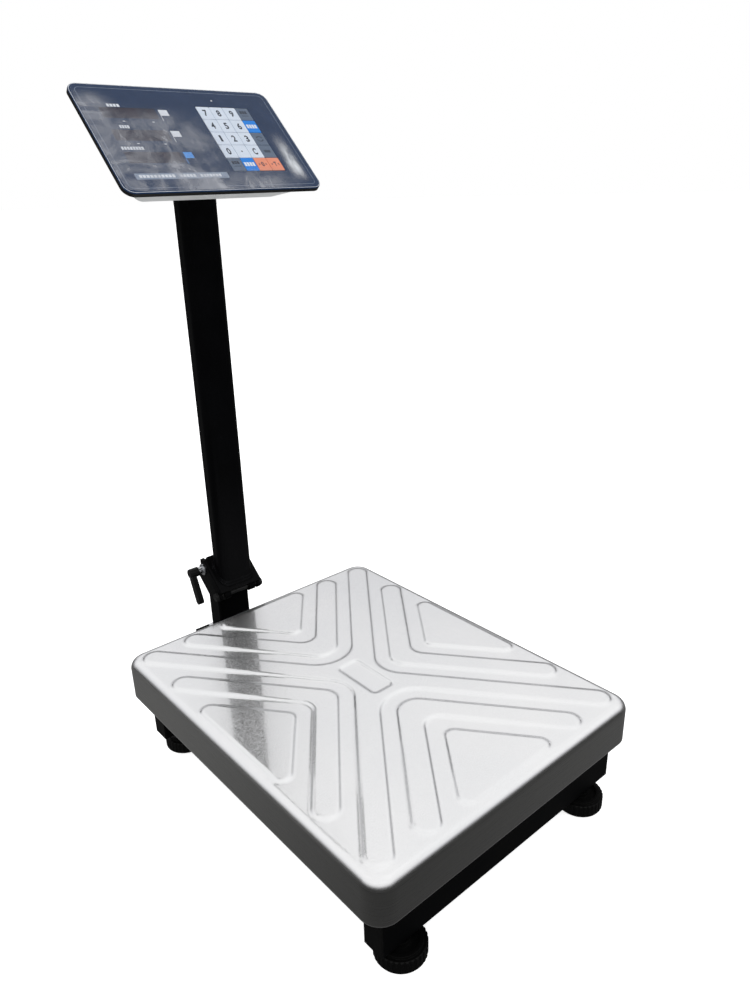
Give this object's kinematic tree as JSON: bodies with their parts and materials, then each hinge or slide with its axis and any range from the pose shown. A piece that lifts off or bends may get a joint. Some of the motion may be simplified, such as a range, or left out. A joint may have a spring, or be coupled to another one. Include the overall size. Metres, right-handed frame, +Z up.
{
  "type": "platform shipping scale",
  "caption": "Bench platform scale with a ribbed steel pan on levelling feet and a tilted price-computing head on a column that folds down over the pan.",
  "frame": {"origin": "on the floor under the middle of the whole scale's length and width", "axes": "+Z up, +X across the platform to the user's right, +Y from the platform towards the column"},
  "size_m": [0.4026, 0.613, 0.8185],
  "materials": {
    "pan_steel": "polished top, satin skirt",
    "black_coat": "satin powder coat",
    "post_coat": "satin powder coat",
    "black_plastic": "fine grain",
    "foot_plastic": "moulded, slight sheen",
    "zinc": "bright zinc plate",
    "black_bolt": "blackened",
    "cell_alloy": "machined",
    "rubber": "matte",
    "level_glass": "clear with tinted fluid",
    "cable_sheath": "matte",
    "lever_coat": "satin",
    "bezel_plastic": "satin gloss",
    "panel_film": "glossy printed film",
    "lens": "smoked",
    "module_black": "matte",
    "board_green": "solder mask",
    "housing_plastic": "fine grain",
    "chip_black": "matte",
    "battery_wrap": "shrink sleeve",
    "switch_red": "gloss",
    "key_white": "printed film",
    "key_grey": "printed film",
    "key_blue": "printed film",
    "key_orange": "printed film"
  },
  "bodies": {
    "base": {"base_frame": "black_coat", "beam_caps": "black_plastic", "foot_nuts": "zinc", "load_cell": "cell_alloy", "cell_spacers": "zinc", "frame_bolts": "zinc", "deck_frame": "black_coat", "deck_pads": "rubber", "overload_stops": "zinc", "level_cup": "cell_alloy", "level_glass": "level_glass", "cell_cable": "cable_sheath", "fold_lower": "black_coat", "hinge_bolt": "black_bolt", "lock_stud": "zinc"},
    "platform_pan": {"pan": "pan_steel"},
    "foot_1": {"foot_front_left": "foot_plastic"},
    "foot_2": {"foot_front_right": "foot_plastic"},
    "foot_3": {"foot_rear_left": "foot_plastic"},
    "foot_4": {"foot_rear_right": "foot_plastic"},
    "lever": {"lock_lever": "lever_coat"},
    "column": {"fold_upper": "black_coat", "post_tube": "post_coat", "post_cable": "cable_sheath", "post_yoke": "black_plastic", "tilt_bolt": "zinc"},
    "head": {"head_bezel": "bezel_plastic", "head_panel": "panel_film", "display_lenses": "lens", "digit_modules": "module_black", "key_board": "board_green", "head_rear": "housing_plastic", "main_board": "board_green", "board_parts": "chip_black", "battery": "battery_wrap", "housing_screws": "zinc", "tilt_knuckle": "black_plastic", "back_fittings": "black_plastic"},
    "door": {"battery_door": "housing_plastic"},
    "switch": {"power_switch": "switch_red"},
    "key_7_cap": {"key_7": "key_white"},
    "key_8_cap": {"key_8": "key_white"},
    "key_9_cap": {"key_9": "key_white"},
    "key_memory_up_cap": {"key_memory_up": "key_grey"},
    "key_4_cap": {"key_4": "key_white"},
    "key_5_cap": {"key_5": "key_white"},
    "key_6_cap": {"key_6": "key_white"},
    "key_sum_cap": {"key_sum": "key_blue"},
    "key_1_cap": {"key_1": "key_white"},
    "key_2_cap": {"key_2": "key_white"},
    "key_3_cap": {"key_3": "key_white"},
    "key_recall_cap": {"key_recall": "key_grey"},
    "key_0_cap": {"key_0": "key_white"},
    "key_point_cap": {"key_point": "key_white"},
    "key_clear_cap": {"key_clear": "key_white"},
    "key_light_cap": {"key_light": "key_grey"},
    "key_memory_down_cap": {"key_memory_down": "key_grey"},
    "key_mode_cap": {"key_mode": "key_blue"},
    "key_zero_cap": {"key_zero": "key_orange"},
    "key_tare_cap": {"key_tare": "key_orange"}
  },
  "joints": [
    {"name": "pan_lift", "type": "slide", "parent": "base", "child": "platform_pan", "axis": [0, 0, 1], "range_m": [0, 0.08]},
    {"name": "column_fold", "type": "hinge", "parent": "base", "child": "column", "pos_m": [0, 0.2345, 0.1494], "axis": [-1, 0, 0], "range_deg": [-90, 0]},
    {"name": "lock_lever_turn", "type": "hinge", "parent": "base", "child": "lever", "pos_m": [-0.052, 0.27017, 0.18152], "axis": [1, 0, 0], "range_deg": [0, 110]},
    {"name": "head_tilt", "type": "hinge", "parent": "column", "child": "head", "pos_m": [0, 0.24981, 0.71948], "axis": [1, 0, 0], "range_deg": [-30, 3]},
    {"name": "battery_door_slide", "type": "slide", "parent": "head", "child": "door", "axis": [0, -0.7202, -0.6938], "range_m": [0, 0.04]},
    {"name": "power_rocker", "type": "hinge", "parent": "head", "child": "switch", "pos_m": [0.062, 0.22356, 0.71502], "axis": [1, 0, 0], "range_deg": [0, 14]},
    {"name": "foot_1_turn", "type": "hinge", "parent": "base", "child": "foot_1", "pos_m": [-0.1484, -0.2774, 0], "axis": [0, 0, 1], "continuous": true},
    {"name": "foot_2_turn", "type": "hinge", "parent": "base", "child": "foot_2", "pos_m": [0.1484, -0.2774, 0], "axis": [0, 0, 1], "continuous": true},
    {"name": "foot_3_turn", "type": "hinge", "parent": "base", "child": "foot_3", "pos_m": [-0.1484, 0.1526, 0], "axis": [0, 0, 1], "continuous": true},
    {"name": "foot_4_turn", "type": "hinge", "parent": "base", "child": "foot_4", "pos_m": [0.1484, 0.1526, 0], "axis": [0, 0, 1], "continuous": true},
    {"name": "key_7_press", "type": "slide", "parent": "head", "child": "key_7_cap", "axis": [0, 0.6938, -0.7202], "range_m": [0, 0.0005], "stiffness_N_per_m": 2000},
    {"name": "key_8_press", "type": "slide", "parent": "head", "child": "key_8_cap", "axis": [0, 0.6938, -0.7202], "range_m": [0, 0.0005], "stiffness_N_per_m": 2000},
    {"name": "key_9_press", "type": "slide", "parent": "head", "child": "key_9_cap", "axis": [0, 0.6938, -0.7202], "range_m": [0, 0.0005], "stiffness_N_per_m": 2000},
    {"name": "key_memory_up_press", "type": "slide", "parent": "head", "child": "key_memory_up_cap", "axis": [0, 0.6938, -0.7202], "range_m": [0, 0.0005], "stiffness_N_per_m": 2000},
    {"name": "key_4_press", "type": "slide", "parent": "head", "child": "key_4_cap", "axis": [0, 0.6938, -0.7202], "range_m": [0, 0.0005], "stiffness_N_per_m": 2000},
    {"name": "key_5_press", "type": "slide", "parent": "head", "child": "key_5_cap", "axis": [0, 0.6938, -0.7202], "range_m": [0, 0.0005], "stiffness_N_per_m": 2000},
    {"name": "key_6_press", "type": "slide", "parent": "head", "child": "key_6_cap", "axis": [0, 0.6938, -0.7202], "range_m": [0, 0.0005], "stiffness_N_per_m": 2000},
    {"name": "key_sum_press", "type": "slide", "parent": "head", "child": "key_sum_cap", "axis": [0, 0.6938, -0.7202], "range_m": [0, 0.0005], "stiffness_N_per_m": 2000},
    {"name": "key_1_press", "type": "slide", "parent": "head", "child": "key_1_cap", "axis": [0, 0.6938, -0.7202], "range_m": [0, 0.0005], "stiffness_N_per_m": 2000},
    {"name": "key_2_press", "type": "slide", "parent": "head", "child": "key_2_cap", "axis": [0, 0.6938, -0.7202], "range_m": [0, 0.0005], "stiffness_N_per_m": 2000},
    {"name": "key_3_press", "type": "slide", "parent": "head", "child": "key_3_cap", "axis": [0, 0.6938, -0.7202], "range_m": [0, 0.0005], "stiffness_N_per_m": 2000},
    {"name": "key_recall_press", "type": "slide", "parent": "head", "child": "key_recall_cap", "axis": [0, 0.6938, -0.7202], "range_m": [0, 0.0005], "stiffness_N_per_m": 2000},
    {"name": "key_0_press", "type": "slide", "parent": "head", "child": "key_0_cap", "axis": [0, 0.6938, -0.7202], "range_m": [0, 0.0005], "stiffness_N_per_m": 2000},
    {"name": "key_point_press", "type": "slide", "parent": "head", "child": "key_point_cap", "axis": [0, 0.6938, -0.7202], "range_m": [0, 0.0005], "stiffness_N_per_m": 2000},
    {"name": "key_clear_press", "type": "slide", "parent": "head", "child": "key_clear_cap", "axis": [0, 0.6938, -0.7202], "range_m": [0, 0.0005], "stiffness_N_per_m": 2000},
    {"name": "key_light_press", "type": "slide", "parent": "head", "child": "key_light_cap", "axis": [0, 0.6938, -0.7202], "range_m": [0, 0.0005], "stiffness_N_per_m": 2000},
    {"name": "key_memory_down_press", "type": "slide", "parent": "head", "child": "key_memory_down_cap", "axis": [0, 0.6938, -0.7202], "range_m": [0, 0.0005], "stiffness_N_per_m": 2000},
    {"name": "key_mode_press", "type": "slide", "parent": "head", "child": "key_mode_cap", "axis": [0, 0.6938, -0.7202], "range_m": [0, 0.0005], "stiffness_N_per_m": 2000},
    {"name": "key_zero_press", "type": "slide", "parent": "head", "child": "key_zero_cap", "axis": [0, 0.6938, -0.7202], "range_m": [0, 0.0005], "stiffness_N_per_m": 2000},
    {"name": "key_tare_press", "type": "slide", "parent": "head", "child": "key_tare_cap", "axis": [0, 0.6938, -0.7202], "range_m": [0, 0.0005], "stiffness_N_per_m": 2000}
  ]
}
